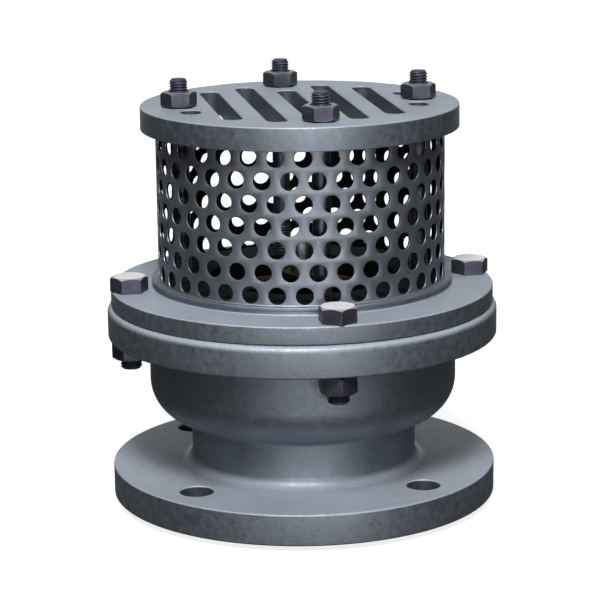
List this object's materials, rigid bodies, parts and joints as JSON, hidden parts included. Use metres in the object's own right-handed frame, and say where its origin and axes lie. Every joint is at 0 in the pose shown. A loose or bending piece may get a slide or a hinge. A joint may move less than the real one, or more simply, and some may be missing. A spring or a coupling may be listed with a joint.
{
  "type": "foot valve",
  "caption": "Flanged lift foot valve: hollow body with a sprung disc under a bolted cover, and a perforated strainer with a slotted end plate.",
  "frame": {"origin": "centre of the pipe flange's sealing face, on which the valve stands in the picture", "axes": "+Z along the valve's axis, from the pipe flange towards the strainer; +Y along the slots of the end plate, away from the picture's camera, which looks from 9.5 degrees to their side"},
  "size_m": [0.212, 0.212, 0.2321],
  "materials": {
    "grey_paint": "blue-grey painted casting, satin",
    "disc_paint": "dark painted casting, satin",
    "basket_paint": "perforated sheet, blue-grey paint, satin",
    "dark_steel": "blackened steel fasteners",
    "bright_steel": "stainless steel, turned",
    "bronze": "machined bronze",
    "rubber": "black moulded rubber",
    "gasket_fibre": "dark pressed fibre sheet"
  },
  "bodies": {
    "casing": {"valve_body": "grey_paint", "cover_flange": "grey_paint", "joint_gasket": "gasket_fibre", "seat_ring": "bronze", "upper_bush": "bronze", "lower_bush": "bronze", "guide_spider": "grey_paint", "return_spring": "bright_steel", "strainer_basket": "basket_paint", "end_plate": "grey_paint", "tie_rod_1": "dark_steel", "tie_rod_2": "dark_steel", "tie_rod_3": "dark_steel", "tie_rod_4": "dark_steel", "rod_nut_1": "dark_steel", "rod_nut_2": "dark_steel", "rod_nut_3": "dark_steel", "rod_nut_4": "dark_steel", "cover_bolt_1": "dark_steel", "cover_bolt_2": "dark_steel", "cover_bolt_3": "dark_steel", "cover_bolt_4": "dark_steel", "cover_nut_1": "dark_steel", "cover_nut_2": "dark_steel", "cover_nut_3": "dark_steel", "cover_nut_4": "dark_steel"},
    "poppet": {"valve_disc": "disc_paint", "disc_seal": "rubber", "seal_retainer": "bright_steel", "valve_stem": "bright_steel", "disc_nut": "dark_steel"}
  },
  "joints": [
    {"name": "disc_lift", "type": "slide", "parent": "casing", "child": "poppet", "axis": [0, 0, -1], "range_m": [0, 0.022], "stiffness_N_per_m": 900, "springref_m": -0.022, "deforming": ["return_spring"]}
  ]
}
